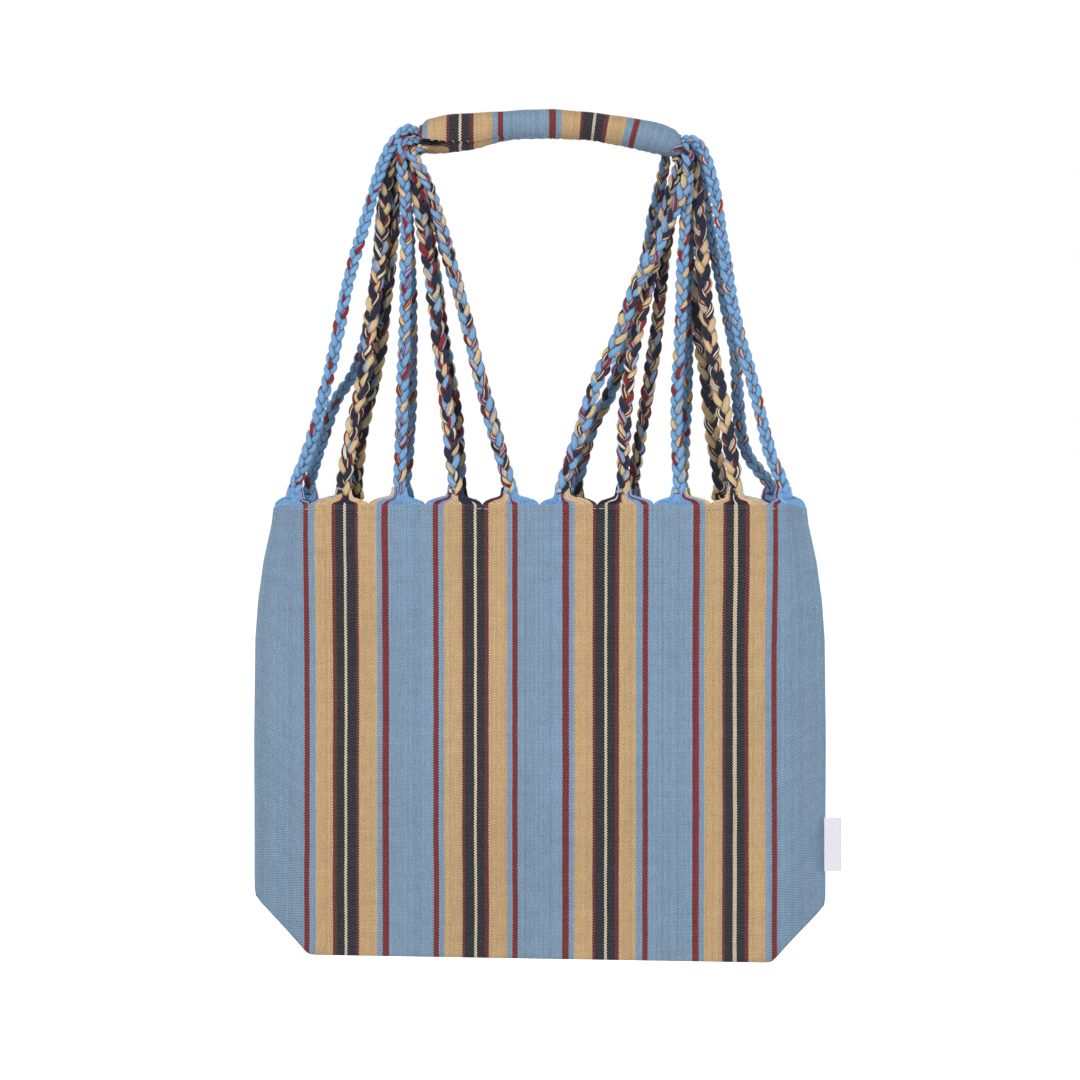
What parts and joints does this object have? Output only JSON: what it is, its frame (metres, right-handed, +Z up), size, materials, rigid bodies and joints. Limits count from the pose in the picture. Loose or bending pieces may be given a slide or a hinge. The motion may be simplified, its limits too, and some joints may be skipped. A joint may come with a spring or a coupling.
{
  "type": "braid-handled woven bag",
  "caption": "Soft striped bag of hand-woven cotton whose warp yarns leave the mouth as plaits and meet in one cloth-wrapped grip.",
  "frame": {"origin": "the underside of the cloth-wrapped grip at its middle, where a hand or hook holds the bag", "axes": "+Z up towards the grip, +X to the right along the grip, -Y out of the front panel"},
  "size_m": [0.4106, 0.0776, 0.5969],
  "materials": {
    "striped_cloth": "coarse hand-woven cotton in lengthwise stripes, matt",
    "braided_cotton": "soft plaited cotton yarns, matt",
    "warp_yarn": "loose cotton yarns, matt",
    "sewing_thread": "fine cotton thread, slight sheen",
    "seam_cloth": "overlocked cloth edge, matt",
    "label_tape": "smooth folded woven tape, slight sheen"
  },
  "bodies": {
    "grip": {"grip_cover": "striped_cloth", "grip_core": "braided_cotton", "grip_seam": "sewing_thread"},
    "straps": {"front_braid_1": "braided_cotton", "front_braid_2": "braided_cotton", "front_braid_3": "braided_cotton", "front_braid_4": "braided_cotton", "front_braid_5": "braided_cotton", "front_braid_6": "braided_cotton", "front_braid_7": "braided_cotton", "front_braid_8": "braided_cotton", "front_braid_9": "braided_cotton", "front_braid_10": "braided_cotton", "back_braid_1": "braided_cotton", "back_braid_2": "braided_cotton", "back_braid_3": "braided_cotton", "back_braid_4": "braided_cotton", "back_braid_5": "braided_cotton", "back_braid_6": "braided_cotton", "back_braid_7": "braided_cotton", "back_braid_8": "braided_cotton", "back_braid_9": "braided_cotton", "back_braid_10": "braided_cotton"},
    "bag": {"bag_cloth": "striped_cloth", "left_side_seam": "seam_cloth", "right_side_seam": "seam_cloth", "left_corner_seam": "seam_cloth", "right_corner_seam": "seam_cloth", "front_edge_stitch": "sewing_thread", "back_edge_stitch": "sewing_thread", "front_fan_1": "warp_yarn", "front_fan_2": "warp_yarn", "front_fan_3": "warp_yarn", "front_fan_4": "warp_yarn", "front_fan_5": "warp_yarn", "front_fan_6": "warp_yarn", "front_fan_7": "warp_yarn", "front_fan_8": "warp_yarn", "front_fan_9": "warp_yarn", "front_fan_10": "warp_yarn", "back_fan_1": "warp_yarn", "back_fan_2": "warp_yarn", "back_fan_3": "warp_yarn", "back_fan_4": "warp_yarn", "back_fan_5": "warp_yarn", "back_fan_6": "warp_yarn", "back_fan_7": "warp_yarn", "back_fan_8": "warp_yarn", "back_fan_9": "warp_yarn", "back_fan_10": "warp_yarn"},
    "label": {"side_label": "label_tape"}
  },
  "joints": [
    {"name": "strap_swing", "type": "hinge", "parent": "grip", "child": "straps", "pos_m": [0, 0, -0.003], "axis": [1, 0, 0], "range_deg": [-60, 60]},
    {"name": "bag_swing", "type": "hinge", "parent": "straps", "child": "bag", "pos_m": [0, 0, -0.25], "axis": [1, 0, 0], "range_deg": [-75, 75], "deforming": ["front_braid_1", "front_braid_2", "front_braid_3", "front_braid_4", "front_braid_5", "front_braid_6", "front_braid_7", "front_braid_8", "front_braid_9", "front_braid_10", "back_braid_1", "back_braid_2", "back_braid_3", "back_braid_4", "back_braid_5", "back_braid_6", "back_braid_7", "back_braid_8", "back_braid_9", "back_braid_10"]},
    {"name": "label_flip", "type": "hinge", "parent": "bag", "child": "label", "pos_m": [0.2007, 0, -0.4935], "axis": [0, 0, 1], "range_deg": [-80, 80], "stiffness_Nm_per_rad": 0.0004}
  ]
}
